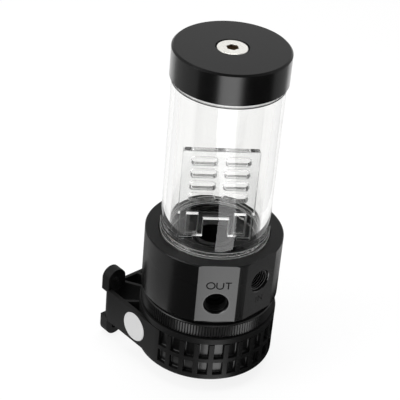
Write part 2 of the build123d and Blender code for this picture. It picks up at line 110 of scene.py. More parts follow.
# Where a finish changes on one piece: the faced floor below the pump top's rim, the pockets' floors inside
# the cup's outer face, and the shaded socket of the plug
faced_depth = 10 * mm
pocket_depth = 1.9 * mm
socket_reach = 3.5 * mm
socket_shade_depth = 0.9 * mm

# Lettering, cut by an engraver and filled: each word's height, stroke and gap
letter_proud = 0.03 * mm
letter_sink = 0.05 * mm
mitre_limit = 0.3
out_size = (4.8 * mm, 0.68 * mm, 1.0 * mm)
in_size = (4.0 * mm, 0.45 * mm, 1.7 * mm)

acrylic_ior = 1.49


def add(tree, kind, inputs, **settings):
    """One shader node. Each input, by name or by number, is a plain value or another node's output."""
    node = tree.nodes.new("ShaderNode" + kind)
    for name, value in settings.items():
        setattr(node, name, value)
    pairs = inputs.items() if isinstance(inputs, dict) else enumerate(inputs)
    for key, value in pairs:
        if isinstance(value, bpy.types.NodeSocket):
            tree.links.new(value, node.inputs[key])
        else:
            node.inputs[key].default_value = value
    return node


def sum_of(tree, a, b):
    return add(tree, "Math", [a, b], operation="ADD").outputs[0]


def product(tree, a, b):
    return add(tree, "Math", [a, b], operation="MULTIPLY").outputs[0]


def remainder(tree, share):
    """One less the share."""
    return add(tree, "Math", [1.0, share], operation="SUBTRACT").outputs[0]


def new_group(name, inputs, outputs):
    """An empty effect with named sockets; it returns the tree and its two end nodes."""
    tree = bpy.data.node_groups.new(name, "ShaderNodeTree")
    kinds = {"value": "NodeSocketFloat", "colour": "NodeSocketColor", "vector": "NodeSocketVector"}
    for label, kind, default in inputs:
        socket = tree.interface.new_socket(label, in_out="INPUT", socket_type=kinds[kind])
        socket.default_value = default
    for label, kind in outputs:
        tree.interface.new_socket(label, in_out="OUTPUT", socket_type=kinds[kind])
    return tree, tree.nodes.new("NodeGroupInput"), tree.nodes.new("NodeGroupOutput")


def place(tree, effect, inputs):
    """Puts an effect into a material's or another effect's tree."""
    node = tree.nodes.new("ShaderNodeGroup")
    node.node_tree = effect
    for key, value in inputs.items():
        if isinstance(value, bpy.types.NodeSocket):
            tree.links.new(value, node.inputs[key])
        else:
            node.inputs[key].default_value = value
    return node


def make_soft_edge():
    """Edges eased by a small radius, with a mask that is 1 on the edge and 0 on the flat."""
    tree, given, result = new_group(
        "soft edge", [("Radius", "value", 0.3 * mm), ("Mask Gain", "value", 6.0)],
        [("Normal", "vector"), ("Mask", "value")])
    eased = add(tree, "Bevel", {"Radius": given.outputs["Radius"]}, samples=6)
    plain = add(tree, "NewGeometry", {})
    agreement = add(tree, "VectorMath", [eased.outputs[0], plain.outputs["Normal"]], operation="DOT_PRODUCT")
    turned = remainder(tree, agreement.outputs["Value"])
    gained = add(tree, "Math", [turned, given.outputs["Mask Gain"]], operation="MULTIPLY", use_clamp=True)
    tree.links.new(eased.outputs[0], result.inputs["Normal"])
    tree.links.new(gained.outputs[0], result.inputs["Mask"])
    return tree


def end_skin(tree, given, result, texture, relief, label):
    """Ends a surface effect: gloss that wanders with a texture, a relief as a normal, and the texture."""
    centred = add(tree, "Math", [texture, 0.5], operation="SUBTRACT")
    wander = product(tree, centred.outputs[0], given.outputs["Spread"])
    rough = sum_of(tree, given.outputs["Roughness"], wander)
    bump = add(tree, "Bump", {"Strength": 1.0, "Distance": given.outputs["Depth"], "Height": relief,
                              "Normal": given.outputs["Normal"]})
    tree.links.new(rough, result.inputs["Roughness"])
    tree.links.new(bump.outputs[0], result.inputs["Normal"])
    tree.links.new(texture, result.inputs[label])


def make_turned_rings():
    """Fine tool marks of a lathe: rings on a face, bands on a side."""
    tree, given, result = new_group(
        "turned rings",
        [("Centre", "vector", (0.0, 0.0, 0.0)), ("Spacing", "value", 1.0 * mm), ("Depth", "value", 0.01 * mm),
         ("Roughness", "value", 0.3), ("Spread", "value", 0.08), ("Normal", "vector", (0.0, 0.0, 0.0))],
        [("Roughness", "value"), ("Normal", "vector"), ("Bands", "value")])
    where = add(tree, "TexCoord", {})
    offset = add(tree, "VectorMath", [where.outputs["Object"], given.outputs["Centre"]], operation="SUBTRACT")
    level = add(tree, "VectorMath", [offset.outputs[0], (1.0, 1.0, 0.0)], operation="MULTIPLY")
    radius = add(tree, "VectorMath", [level.outputs[0]], operation="LENGTH")
    height = add(tree, "SeparateXYZ", [offset.outputs[0]])
    along = sum_of(tree, radius.outputs["Value"], height.outputs["Z"])
    steps = add(tree, "Math", [along, given.outputs["Spacing"]], operation="DIVIDE")
    marks = add(tree, "TexNoise", {"W": steps.outputs[0], "Scale": 1.0, "Detail": 2.0, "Roughness": 0.6},
                noise_dimensions="1D")
    end_skin(tree, given, result, marks.outputs[0], marks.outputs[0], "Bands")
    return tree


def make_moulded_skin():
    """The fine spark-eroded grain of a moulding, and the slow change of gloss over it."""
    tree, given, result = new_group(
        "moulded skin",
        [("Grain", "value", 0.25 * mm), ("Depth", "value", 0.008 * mm), ("Roughness", "value", 0.45),
         ("Spread", "value", 0.1), ("Normal", "vector", (0.0, 0.0, 0.0))],
        [("Roughness", "value"), ("Normal", "vector"), ("Cloud", "value")])
    where = add(tree, "TexCoord", {})
    fineness = add(tree, "Math", [1.0, given.outputs["Grain"]], operation="DIVIDE")
    grain = add(tree, "TexNoise", {"Vector": where.outputs["Object"], "Scale": fineness.outputs[0],
                                   "Detail": 3.0, "Roughness": 0.55})
    cloud = add(tree, "TexNoise", {"Vector": where.outputs["Object"], "Scale": 60.0, "Detail": 3.0})
    end_skin(tree, given, result, cloud.outputs[0], grain.outputs[0], "Cloud")
    return tree


def make_brushed_lines():
    """Straight or round brushing of a metal face."""
    tree, given, result = new_group(
        "brushed lines",
        [("Stretch", "vector", (1.0, 1.0, 1.0)), ("Fineness", "value", 3000.0),
         ("Depth", "value", 0.004 * mm), ("Roughness", "value", 0.3), ("Spread", "value", 0.2),
         ("Normal", "vector", (0.0, 0.0, 0.0))],
        [("Roughness", "value"), ("Normal", "vector"), ("Lines", "value")])
    where = add(tree, "TexCoord", {})
    drawn = add(tree, "VectorMath", [where.outputs["Object"], given.outputs["Stretch"]], operation="MULTIPLY")
    lines = add(tree, "TexNoise", {"Vector": drawn.outputs[0], "Scale": given.outputs["Fineness"],
                                   "Detail": 2.0})
    end_skin(tree, given, result, lines.outputs[0], lines.outputs[0], "Lines")
    return tree


def make_tone():
    """A colour that drifts a little over the surface, and a painted highlight that makes it lighter on edges.
    """
    tree, given, result = new_group(
        "tone",
        [("Colour", "colour", (0.5, 0.5, 0.5, 1.0)), ("Light Colour", "colour", (0.6, 0.6, 0.6, 1.0)),
         ("Drift", "value", 0.5), ("Amount", "value", 0.3), ("Edge", "value", 0.0),
         ("Edge Highlight Amount", "value", 0.0)],
        [("Colour", "colour")])
    drift = product(tree, given.outputs["Drift"], given.outputs["Amount"])
    # Painted highlight: the edge mask lightens the colour where edges would catch the light.
    edge_highlight = product(tree, given.outputs["Edge"], given.outputs["Edge Highlight Amount"])
    share = add(tree, "Math", [drift, edge_highlight], operation="ADD", use_clamp=True)
    mixed = add(tree, "MixRGB", [share.outputs[0], given.outputs["Colour"], given.outputs["Light Colour"]])
    tree.links.new(mixed.outputs[0], result.inputs["Colour"])
    return tree


def make_looking_along():
    """A mask that is 1 where the surface looks along one direction, either way, above a height."""
    tree, given, result = new_group(
        "looking along",
        [("Direction", "vector", (0.0, 0.0, 1.0)), ("Above", "value", -1.0), ("Low", "value", 0.8),
         ("High", "value", 0.95)],
        [("Mask", "value")])
    where = add(tree, "TexCoord", {})
    lean = add(tree, "VectorMath", [where.outputs["Normal"], given.outputs["Direction"]],
               operation="DOT_PRODUCT")
    lean = add(tree, "Math", [lean.outputs["Value"]], operation="ABSOLUTE")
    looks = add(tree, "MapRange", {"Value": lean.outputs[0], "From Min": given.outputs["Low"],
                                   "From Max": given.outputs["High"]}, interpolation_type="SMOOTHSTEP")
    height = add(tree, "SeparateXYZ", [where.outputs["Object"]])
    high = add(tree, "Math", [height.outputs["Z"], given.outputs["Above"]], operation="GREATER_THAN")
    tree.links.new(product(tree, looks.outputs[0], high.outputs[0]), result.inputs["Mask"])
    return tree


def make_inside_bore():
    """A mask that is 1 within a radius of an axis, down to a depth below the centre."""
    tree, given, result = new_group(
        "inside bore",
        [("Centre", "vector", (0.0, 0.0, 0.0)), ("Axis", "vector", (0.0, 0.0, 1.0)),
         ("Radius", "value", 5.0 * mm), ("Fade", "value", 0.1 * mm), ("Depth", "value", 1.0)],
        [("Mask", "value")])
    where = add(tree, "TexCoord", {})
    offset = add(tree, "VectorMath", [where.outputs["Object"], given.outputs["Centre"]], operation="SUBTRACT")
    lever = add(tree, "VectorMath", [offset.outputs[0], given.outputs["Axis"]], operation="CROSS_PRODUCT")
    reach = add(tree, "VectorMath", [lever.outputs[0]], operation="LENGTH")
    outer = sum_of(tree, given.outputs["Radius"], given.outputs["Fade"])
    inside = add(tree, "MapRange", {"Value": reach.outputs["Value"], "From Min": given.outputs["Radius"],
                                    "From Max": outer, "To Min": 1.0, "To Max": 0.0})
    along = add(tree, "VectorMath", [offset.outputs[0], given.outputs["Axis"]], operation="DOT_PRODUCT")
    above = sum_of(tree, along.outputs["Value"], given.outputs["Depth"])
    this_side = add(tree, "Math", [above, 0.0], operation="GREATER_THAN")
    tree.links.new(product(tree, inside.outputs[0], this_side.outputs[0]), result.inputs["Mask"])
    return tree


soft_edge = make_soft_edge()
looking_along = make_looking_along()
inside_bore = make_inside_bore()
turned_rings = make_turned_rings()
moulded_skin = make_moulded_skin()
brushed_lines = make_brushed_lines()
tone = make_tone()


def grey(value):
    return (value, value, value, 1.0)


def new_material(name, **uniform):
    """A material with its Principled shader; what is the same all over is set on the shader's own sockets."""
    material = bpy.data.materials.new(name)
    material.use_nodes = True
    tree = material.node_tree
    shader = tree.nodes["Principled BSDF"]
    for label, value in uniform.items():
        shader.inputs[label.replace("_", " ")].default_value = value
    return material, tree, shader


def reopen(material):
    """The tree and the shader of a finished material, to change them for one piece."""
    return material.node_tree, material.node_tree.nodes["Principled BSDF"]


def dress(tree, shader, colours, skin):
    """Joins a colour and the end of a surface effect to a shader."""
    tree.links.new(colours.outputs["Colour"], shader.inputs["Base Color"])
    tree.links.new(skin.outputs["Roughness"], shader.inputs["Roughness"])
    tree.links.new(skin.outputs["Normal"], shader.inputs["Normal"])


def let_lamps_through(tree, shader):
    """Clear plastic casts only a faint shadow, so that light reaches what stands inside."""
    path = add(tree, "LightPath", {})
    clear = add(tree, "BsdfTransparent", {"Color": grey(0.95)})
    chosen = add(tree, "MixShader", [path.outputs["Is Shadow Ray"], shader.outputs[0], clear.outputs[0]])
    tree.links.new(chosen.outputs[0], tree.nodes["Material Output"].inputs["Surface"])


def background_rays(tree):
    """1 for the rays that see the white background: from the camera, off gloss and through clear plastic."""
    path = add(tree, "LightPath", {})
    seen = sum_of(tree, path.outputs["Is Camera Ray"], path.outputs["Is Glossy Ray"])
    seen = add(tree, "Math", [seen, path.outputs["Is Transmission Ray"]], operation="ADD", use_clamp=True)
    return seen.outputs[0]


def turned_plastic(name, colour, light, roughness, spacing, depth, radius, end_gloss):
    """Acetal turned on a lathe: its sides are burnished, its faced-off ends and its bevels are dull."""
    material, tree, shader = new_material(name, Specular_IOR_Level=end_gloss, Coat_Roughness=roughness)
    edge = place(tree, soft_edge, {"Radius": radius})
    rings = place(tree, turned_rings, {"Centre": pump_axis, "Spacing": spacing, "Depth": depth,
                                       "Roughness": roughness, "Normal": edge.outputs["Normal"]})
    # The tone's edge share is a painted highlight on the eased edges.
    colours = place(tree, tone, {"Colour": colour, "Light Colour": light, "Drift": rings.outputs["Bands"],
                                 "Amount": 0.3, "Edge": edge.outputs["Mask"], "Edge Highlight Amount": 0.5})
    level = place(tree, looking_along, {"Low": 0.5, "High": 0.65})
    side = remainder(tree, level.outputs[0])
    shine = add(tree, "MapRange", {"Value": rings.outputs["Bands"], "To Min": 0.65, "To Max": 0.85})
    tree.links.new(product(tree, side, shine.outputs[0]), shader.inputs["Coat Weight"])
    dress(tree, shader, colours, rings)
    return material


def moulded_plastic(name, colour, light, roughness, grain, depth, radius, specular=0.3):
    """A moulding with a fine grain, its edges eased by the tool."""
    material, tree, shader = new_material(name, Specular_IOR_Level=specular)
    edge = place(tree, soft_edge, {"Radius": radius})
    skin = place(tree, moulded_skin, {"Grain": grain, "Depth": depth, "Roughness": roughness,
                                      "Normal": edge.outputs["Normal"]})
    # The tone's edge share is a painted highlight on the eased edges.
    colours = place(tree, tone, {"Colour": colour, "Light Colour": light, "Drift": skin.outputs["Cloud"],
                                 "Amount": 0.3, "Edge": edge.outputs["Mask"], "Edge Highlight Amount": 0.6})
    dress(tree, shader, colours, skin)
    return material


def brushed_metal(name, colour, dark, roughness, stretch, fineness, depth, radius):
    """A plated or brushed metal piece."""
    material, tree, shader = new_material(name, Metallic=1.0)
    edge = place(tree, soft_edge, {"Radius": radius})
    lines = place(tree, brushed_lines, {"Stretch": stretch, "Fineness": fineness, "Depth": depth,
                                        "Roughness": roughness, "Normal": edge.outputs["Normal"]})
    # The tone's edge share is a painted highlight on the eased edges.
    colours = place(tree, tone, {"Colour": dark, "Light Colour": colour, "Drift": lines.outputs["Lines"],
                                 "Amount": 1.4, "Edge": edge.outputs["Mask"], "Edge Highlight Amount": 0.5})
    dress(tree, shader, colours, lines)
    return material


def clear_acrylic(name):
    """Polished clear acrylic with a slight haze."""
    material, tree, shader = new_material(name, IOR=acrylic_ior, Transmission_Weight=1.0)
    where = add(tree, "TexCoord", {})
    haze = add(tree, "TexNoise", {"Vector": where.outputs["Object"], "Scale": 90.0, "Detail": 2.0})
    rough = product(tree, haze.outputs[0], 0.03)
    colours = place(tree, tone, {"Colour": (0.98, 0.98, 0.97, 1.0), "Light Colour": grey(1.0),
                                 "Drift": haze.outputs[0], "Amount": 0.5})
    tree.links.new(colours.outputs[0], shader.inputs["Base Color"])
    tree.links.new(rough, shader.inputs["Roughness"])
    let_lamps_through(tree, shader)
    return material


def cut_acrylic(name, facing_direction, polished, sawn, colour):
    """Clear acrylic cut from a sheet: polished faces and frosted edges, which catch the light."""
    material, tree, shader = new_material(name, IOR=acrylic_ior, Transmission_Weight=1.0)
    face = place(tree, looking_along, {"Direction": facing_direction, "Low": 0.9, "High": 0.98})
    rough = add(tree, "MapRange", {"Value": face.outputs[0], "To Min": sawn, "To Max": polished})
    where = add(tree, "TexCoord", {})
    saw_marks = add(tree, "TexNoise", {"Vector": where.outputs["Object"], "Scale": 1400.0, "Detail": 2.0})
    relief = product(tree, remainder(tree, face.outputs[0]), saw_marks.outputs[0])
    bump = add(tree, "Bump", {"Strength": 1.0, "Distance": 0.03 * mm, "Height": relief})
    colours = place(tree, tone, {"Colour": colour, "Light Colour": grey(1.0),
                                 "Drift": saw_marks.outputs[0], "Amount": 0.05})
    tree.links.new(colours.outputs[0], shader.inputs["Base Color"])
    tree.links.new(rough.outputs[0], shader.inputs["Roughness"])
    tree.links.new(bump.outputs[0], shader.inputs["Normal"])
    let_lamps_through(tree, shader)
    return material


def pump_top_plastic():
    """The pump top's acetal: duller on its faced-off top and floor, dark and oily inside the ports."""
    material = turned_plastic("pump top acetal", grey(0.004), grey(0.008), 0.25, 1.1 * mm, 0.004 * mm,
                              0.12 * mm, 0.11)
    tree, shader = reopen(material)
    coat = shader.inputs["Coat Weight"].links[0].from_socket
    for name in ("port_out", "port_in"):
        mount = mounts[name]
        bore_r = mount["dims"]["r_mm"] * mm
        bore = place(tree, inside_bore, {"Centre": mount["pos_m"], "Axis": mount["axis"], "Depth": tube_r,
                                         "Radius": bore_r + 0.05 * mm})
        lip = place(tree, inside_bore, {"Centre": mount["pos_m"], "Axis": mount["axis"], "Depth": tube_r,
                                        "Radius": bore_r + lip_width})
        coat = add(tree, "Math", [coat, lip.outputs[0]], operation="MAXIMUM").outputs[0]
        coat = product(tree, coat, remainder(tree, bore.outputs[0]))
    tree.links.new(coat, shader.inputs["Coat Weight"])
    faced = place(tree, looking_along, {"Above": pump_top_z - faced_depth})
    rough = shader.inputs["Roughness"].links[0].from_socket
    duller = product(tree, faced.outputs[0], 0.15)
    tree.links.new(sum_of(tree, rough, duller), shader.inputs["Roughness"])
    return material


def cup_plastic():
    """The bracket's moulding: its outer bars are matt, the floors of its pockets are shiny."""
    material = moulded_plastic("bracket plastic", grey(0.004), grey(0.009), 0.34, 0.3 * mm, 0.006 * mm,
                               0.3 * mm, 0.14)
    tree, shader = reopen(material)
    shader.inputs["Coat Roughness"].default_value = 0.28
    floor_part = place(tree, inside_bore, {"Centre": pump_axis, "Radius": cup_r - pocket_depth,
                                           "Fade": 0.3 * mm})
    tree.links.new(product(tree, floor_part.outputs[0], 0.5), shader.inputs["Coat Weight"])
    rough = shader.inputs["Roughness"].links[0].from_socket
    matt = add(tree, "MapRange", {"Value": floor_part.outputs[0], "To Min": 0.22, "To Max": -0.06})
    tree.links.new(sum_of(tree, rough, matt.outputs[0]), shader.inputs["Roughness"])
    return material


def plug_metal():
    """The plug's bright plating, dark in its hexagon socket."""
    material = brushed_metal("bright plating", (0.89, 0.88, 0.84, 1.0), (0.7, 0.68, 0.63, 1.0), 0.3,
                             (1.0, 0.15, 1.0), 2500.0, 0.003 * mm, 0.2 * mm)
    tree, shader = reopen(material)
    where = add(tree, "TexCoord", {})
    height = add(tree, "SeparateXYZ", [where.outputs["Object"]])
    sunk = add(tree, "MapRange", {"Value": height.outputs["Z"], "From Min": plug_top_z - socket_shade_depth,
                                  "From Max": plug_top_z - 0.1 * mm, "To Min": 1.0, "To Max": 0.0})
    socket = place(tree, inside_bore, {"Centre": pump_axis, "Radius": socket_reach, "Fade": 0.1 * mm})
    depth = product(tree, sunk.outputs[0], socket.outputs[0])
    plating = shader.inputs["Base Color"].links[0].from_socket
    dark = add(tree, "MixRGB", [depth, plating, (0.36, 0.29, 0.22, 1.0)])
    tree.links.new(dark.outputs[0], shader.inputs["Base Color"])
    return material


def baffle_acrylic():
    """The baffle's sheet: its level cuts came out cleaner than its upright ones."""
    material = cut_acrylic("cut acrylic sheet", mounts["port_out"]["axis"], 0.0, 0.42,
                           (0.985, 0.99, 0.99, 1.0))
    tree, shader = reopen(material)
    level = place(tree, looking_along, {})
    cleaner = add(tree, "MapRange", {"Value": level.outputs[0], "To Min": 1.0, "To Max": 0.45})
    rough = shader.inputs["Roughness"].links[0].from_socket
    tree.links.new(product(tree, rough, cleaner.outputs[0]), shader.inputs["Roughness"])
    return material


finishes = {
    "black_acetal": turned_plastic("black acetal", grey(0.004), grey(0.008), 0.24, 1.1 * mm, 0.004 * mm,
                                   0.12 * mm, 0.13),
    "black_rubber": moulded_plastic("black rubber", grey(0.012), grey(0.02), 0.6, 0.3 * mm, 0.01 * mm,
                                    0.15 * mm),
    "bright_plug": plug_metal(),
    "clear_acrylic": clear_acrylic("clear acrylic"),
    "ring_plastic": moulded_plastic("ring plastic", grey(0.004), grey(0.008), 0.3, 0.3 * mm, 0.006 * mm,
                                    0.15 * mm, 0.32),
    "motor_plastic": moulded_plastic("motor plastic", grey(0.012), grey(0.02), 0.45, 0.3 * mm, 0.008 * mm,
                                     0.2 * mm),
    "stainless_steel": brushed_metal("stainless steel", grey(0.62), grey(0.5), 0.25, (1.0, 1.0, 8.0), 900.0,
                                     0.004 * mm, 0.1 * mm),
    "white_ceramic": moulded_plastic("white ceramic", grey(0.82), grey(0.88), 0.12, 0.2 * mm, 0.001 * mm,
                                     0.05 * mm, 0.5),
    "bearing_carbon": moulded_plastic("bearing carbon", grey(0.03), grey(0.06), 0.4, 0.2 * mm, 0.004 * mm,
                                      0.1 * mm, 0.5),
    "ferrite_magnet": moulded_plastic("ferrite magnet", grey(0.07), grey(0.11), 0.5, 0.25 * mm, 0.01 * mm,
                                      0.2 * mm, 0.5),
    "impeller_plastic": moulded_plastic("impeller plastic", grey(0.06), grey(0.09), 0.4, 0.3 * mm, 0.005 * mm,
                                        0.1 * mm),
    "laminated_steel": brushed_metal("laminated steel", grey(0.42), grey(0.25), 0.4, (0.05, 0.05, 1.0),
                                     2000.0, 0.02 * mm, 0.1 * mm),
    "copper_winding": brushed_metal("copper winding", (0.8, 0.42, 0.22, 1.0), (0.5, 0.22, 0.1, 1.0), 0.35,
                                    (0.1, 0.1, 1.0), 2500.0, 0.05 * mm, 0.2 * mm),
    "circuit_board": moulded_plastic("circuit board", (0.01, 0.09, 0.03, 1.0), (0.03, 0.2, 0.08, 1.0), 0.3,
                                     0.4 * mm, 0.006 * mm, 0.1 * mm, 0.5),
    "chip_plastic": moulded_plastic("chip plastic", grey(0.015), grey(0.03), 0.5, 0.15 * mm, 0.006 * mm,
                                    0.1 * mm),
    "moulded_plastic": cup_plastic(),
    "badge_metal": moulded_plastic("badge lacquer", grey(0.53), grey(0.6), 0.4, 0.2 * mm, 0.003 * mm,
                                   0.15 * mm, 0.5),
}
own_finishes = {
    "pump_top": pump_top_plastic(),
    "anti_vortex_baffle": baffle_acrylic(),
}

for part in frame["record"]["subparts"]:
    node = part["node"]
    for patch in nodes[node].material_slots:
        patch.material = own_finishes.get(node, finishes[part["material_slot"]])


def put_in_scene(name, mesh, material):
    """Turns a finished bmesh into an object."""
    data = bpy.data.meshes.new(name)
    mesh.to_mesh(data)
    mesh.free()
    data.materials.append(material)
    item = bpy.data.objects.new(name, data)
    bpy.context.scene.collection.objects.link(item)
    return item


def new_piece(name, mesh, material):
    """A piece that rides with the pump top."""
    bmesh.ops.recalc_face_normals(mesh, faces=mesh.faces)
    piece = put_in_scene(name, mesh, material)
    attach(piece, "head")


def around(radius, angle, height=0.0):
    """The point at an angle round an upright axis, in radians."""
    return Vector((radius * math.cos(angle), radius * math.sin(angle), height))


def join_rows(mesh, rows, closed):
    """Skins rows of corners, which are either closed round to the first row or shut at both ends."""
    sides = len(rows[0])
    pairs = list(zip(rows, rows[1:]))
    if closed:
        pairs.append((rows[-1], rows[0]))
    else:
        mesh.faces.new(rows[0])
        mesh.faces.new(reversed(rows[-1]))
    for first, second in pairs:
        for j in range(sides):
            mesh.faces.new((first[j], first[(j + 1) % sides], second[(j + 1) % sides], second[j]))


def facing(mount):
    """The place of a port: X to the right along its flat, Y up and Z outwards."""
    outwards = Vector(mount["axis"]).normalized()
    upwards = Vector((0, 0, 1))
    right = upwards.cross(outwards)
    turn = Matrix((right, upwards, outwards)).transposed().to_4x4()
    return Matrix.Translation(mount["pos_m"]) @ turn


def helix(radius, depth, width, pitch, start, end, steps, spot):
    """One closed coil of triangular section. Its base lies on the radius, its crest depth nearer the axis."""
    mesh = bmesh.new()
    count = int((end - start) / pitch * steps)
    run_out = coil_run_out * steps
    rows = []
    for k in range(count + 1):
        angle = 2 * math.pi * k / steps
        along = start + pitch * k / steps
        taper = max(coil_end, min(1.0, k / run_out, (count - k) / run_out))
        row = []
        for r, shift in ((radius, -width / 2), (radius - depth * taper, 0), (radius, width / 2)):
            row.append(mesh.verts.new(spot @ around(r, angle, along + shift)))
        rows.append(row)
    join_rows(mesh, rows, closed=False)
    return mesh


def cut_thread(mount, crest_highlight, gloss):
    """A port's thread: black flanks, and crests painted lighter as a painted highlight."""
    material = moulded_plastic("cut thread", grey(0.002), grey(0.004), 0.2, 0.2 * mm, 0.002 * mm, 0.06 * mm,
                               gloss)
    tree, shader = reopen(material)
    colour = shader.inputs["Base Color"].links[0].from_socket
    crest = place(tree, inside_bore, {"Centre": mount["pos_m"], "Axis": mount["axis"], "Fade": 0.1 * mm,
                                      "Radius": mount["dims"]["r_mm"] * mm - crest_highlight_depth})
    # Painted highlight: the crests' colour is lightened where they would catch the light.
    mixed = add(tree, "MixRGB", [crest.outputs[0], colour, grey(crest_highlight)])
    tree.links.new(mixed.outputs[0], shader.inputs["Base Color"])
    return material


def make_port_thread(name, crest_highlight, gloss):
    """The ridges of a port's thread, from just inside its mouth to the end of its bore."""
    mount = mounts[name]
    bore_r = mount["dims"]["r_mm"] * mm
    length = mount["dims"]["length_mm"] * mm
    spot = facing(mount)
    start = -length + thread_pitch / 2
    mesh = helix(bore_r + thread_sink, thread_depth + thread_sink, thread_width, thread_pitch,
                 start, -thread_below_mouth, thread_steps, spot)
    new_piece(name + "_thread", mesh, cut_thread(mount, crest_highlight, gloss))


shoulder_finish = cut_acrylic("turned acrylic shoulder", (0.0, 0.0, 1.0), 0.3, 0.3, grey(1.0))
# A dark acrylic ring whose dark colour is a painted reflection of the black cap above it.
painted_reflection_finish = cut_acrylic("acrylic shoulder painted with the cap's reflection", (0.0, 0.0, 1.0), 0.3, 0.3, grey(0.03))


def make_tube_thread(name, start, end):
    """The tube's own fine thread where it shows outside its socket."""
    spot = Matrix.Translation(pump_axis)
    mesh = helix(tube_r - thread_sink, -(tube_thread_depth + thread_sink), tube_thread_width,
                 tube_thread_pitch, start, end, tube_steps, spot)
    new_piece(name, mesh, finishes["clear_acrylic"])


def make_tube_shoulder(name, height, width, finish):
    """A narrow turned shoulder, where a thread of the tube starts or ends."""
    spot = Matrix.Translation(pump_axis + Vector((0, 0, height)))
    mesh = bmesh.new()
    inner, outer = tube_r - thread_sink, tube_r + shoulder_depth
    low, high = -width / 2, width / 2
    profile = ((inner, low), (outer, low), (outer, high), (inner, high))
    rows = []
    for k in range(tube_steps):
        angle = 2 * math.pi * k / tube_steps
        rows.append([mesh.verts.new(spot @ around(r, angle, z)) for r, z in profile])
    join_rows(mesh, rows, closed=True)
    new_piece(name, mesh, finish)


def ribbon(mesh, points, width, bottom, top, spot, closed):
    """A flat stroke along points, as one closed strip."""
    last = len(points) - 1
    rows = []
    for k, point in enumerate(points):
        before = points[k - 1] if k or closed else None
        after = points[(k + 1) % len(points)] if k < last or closed else None
        into = (point - before).normalized() if before else (after - point).normalized()
        out = (after - point).normalized() if after else into
        side = (into + out).normalized()
        normal = Vector((-side.y, side.x))
        reach = width / 2 / max(mitre_limit, side.dot(into))
        row = []
        for across, height in ((-reach, bottom), (reach, bottom), (reach, top), (-reach, top)):
            corner = point + normal * across
            row.append(mesh.verts.new(spot @ Vector((corner.x, corner.y, height))))
        rows.append(row)
    join_rows(mesh, rows, closed)


def arc_points(centre, radius_x, radius_y, start, end, count):
    """Points along part of an ellipse, angles in degrees."""
    points = []
    for k in range(count + 1):
        angle = math.radians(start + (end - start) * k / count)
        points.append(centre + Vector((radius_x * math.cos(angle), radius_y * math.sin(angle))))
    return points


def letter_o(x, width, height):
    centre = Vector((x + width / 2, height / 2))
    return [(arc_points(centre, width / 2, height / 2, 0, 360, 40)[:-1], True)]


def letter_u(x, width, height):
    bowl = height * 0.38
    centre = Vector((x + width / 2, bowl))
    curve = arc_points(centre, width / 2, bowl, 180, 360, 16)
    return [([Vector((x, height))] + curve + [Vector((x + width, height))], False)]


def letter_t(x, width, height):
    middle = x + width / 2
    bar = [Vector((x, height)), Vector((x + width, height))]
    stem = [Vector((middle, height)), Vector((middle, 0))]
    return [(bar, False), (stem, False)]


def letter_i(x, width, height):
    return [([Vector((x, 0)), Vector((x, height))], False)]


def letter_n(x, width, height):
    corners = [Vector((x, 0)), Vector((x, height)), Vector((x + width, 0)), Vector((x + width, height))]
    return [(corners, False)]


engraver_fill = moulded_plastic("engraving fill", grey(0.003), grey(0.005), 0.7, 0.2 * mm, 0.004 * mm,
                                0.02 * mm, 0.05)
worn_fill = moulded_plastic("worn engraving fill", grey(0.008), grey(0.016), 0.6, 0.2 * mm, 0.004 * mm,
                            0.02 * mm, 0.12)


def make_word(name, port, letters, centre_x, bottom_z, size, fill):
    """Plain capitals beside a port, laid on its flat. The size is their height, stroke and gap."""
    height, stroke, gap = size
    mount = mounts[port]
    spot = facing(mount)
    total = sum(width for _, width in letters) + gap * (len(letters) - 1)
    mesh = bmesh.new()
    lift = Matrix.Translation((0, bottom_z - mount["pos_m"][2] + stroke / 2, 0))
    x = centre_x - total / 2
    for draw, width in letters:
        for points, closed in draw(x, width, height - stroke):
            ribbon(mesh, points, stroke, mouth_sink - letter_sink, mouth_sink + letter_proud, spot @ lift,
                   closed)
        x += width + gap
    new_piece(name, mesh, fill)


# Each thread's lighter crest colour is a painted highlight, stronger in the IN port.
make_port_thread("port_out", crest_highlight=0.02, gloss=0.06)
make_port_thread("port_in", crest_highlight=0.14, gloss=0.08)
make_tube_thread("tube_base_thread", pump_top_z + tube_thread_low, pump_top_z + tube_thread_high)
make_tube_shoulder("tube_base_shoulder_low", pump_top_z + low_shoulder_height, shoulder_width,
                   shoulder_finish)
make_tube_shoulder("tube_base_shoulder_high", pump_top_z + high_shoulder_height, shoulder_width,
                   shoulder_finish)
# The top shoulder's dark colour is a painted reflection of the black cap.
make_tube_shoulder("tube_top_shoulder", cap_low.z - top_shoulder_drop, 1.5 * shoulder_width, painted_reflection_finish)
make_word("word_out", "port_out", [(letter_o, 4.4 * mm), (letter_u, 3.6 * mm), (letter_t, 3.4 * mm)],
          centre_x=0.8 * mm, bottom_z=47.1 * mm, size=out_size, fill=engraver_fill)
make_word("word_in", "port_in", [(letter_i, 0.0), (letter_n, 3.0 * mm)],
          centre_x=0.75 * mm, bottom_z=33.2 * mm, size=in_size, fill=worn_fill)


def make_floor():
    """A plain pale floor that keeps the object's soft shadow."""
    material, tree, shader = new_material("floor paper")
    tree.nodes.remove(shader)
    share = product(tree, background_rays(tree), 0.85)
    paper = add(tree, "BsdfDiffuse", {"Color": grey(0.86)})
    white = add(tree, "Emission", {"Color": grey(1.0), "Strength": 1.0})
    mixed = add(tree, "MixShader", [share, paper.outputs[0], white.outputs[0]])
    tree.links.new(mixed.outputs[0], tree.nodes["Material Output"].inputs["Surface"])
    mesh = bmesh.new()
    bmesh.ops.create_grid(mesh, x_segments=8, y_segments=8, size=4.0)
    bmesh.ops.translate(mesh, verts=mesh.verts, vec=(0, 0, floor_z))
    put_in_scene("studio_floor", mesh, material)


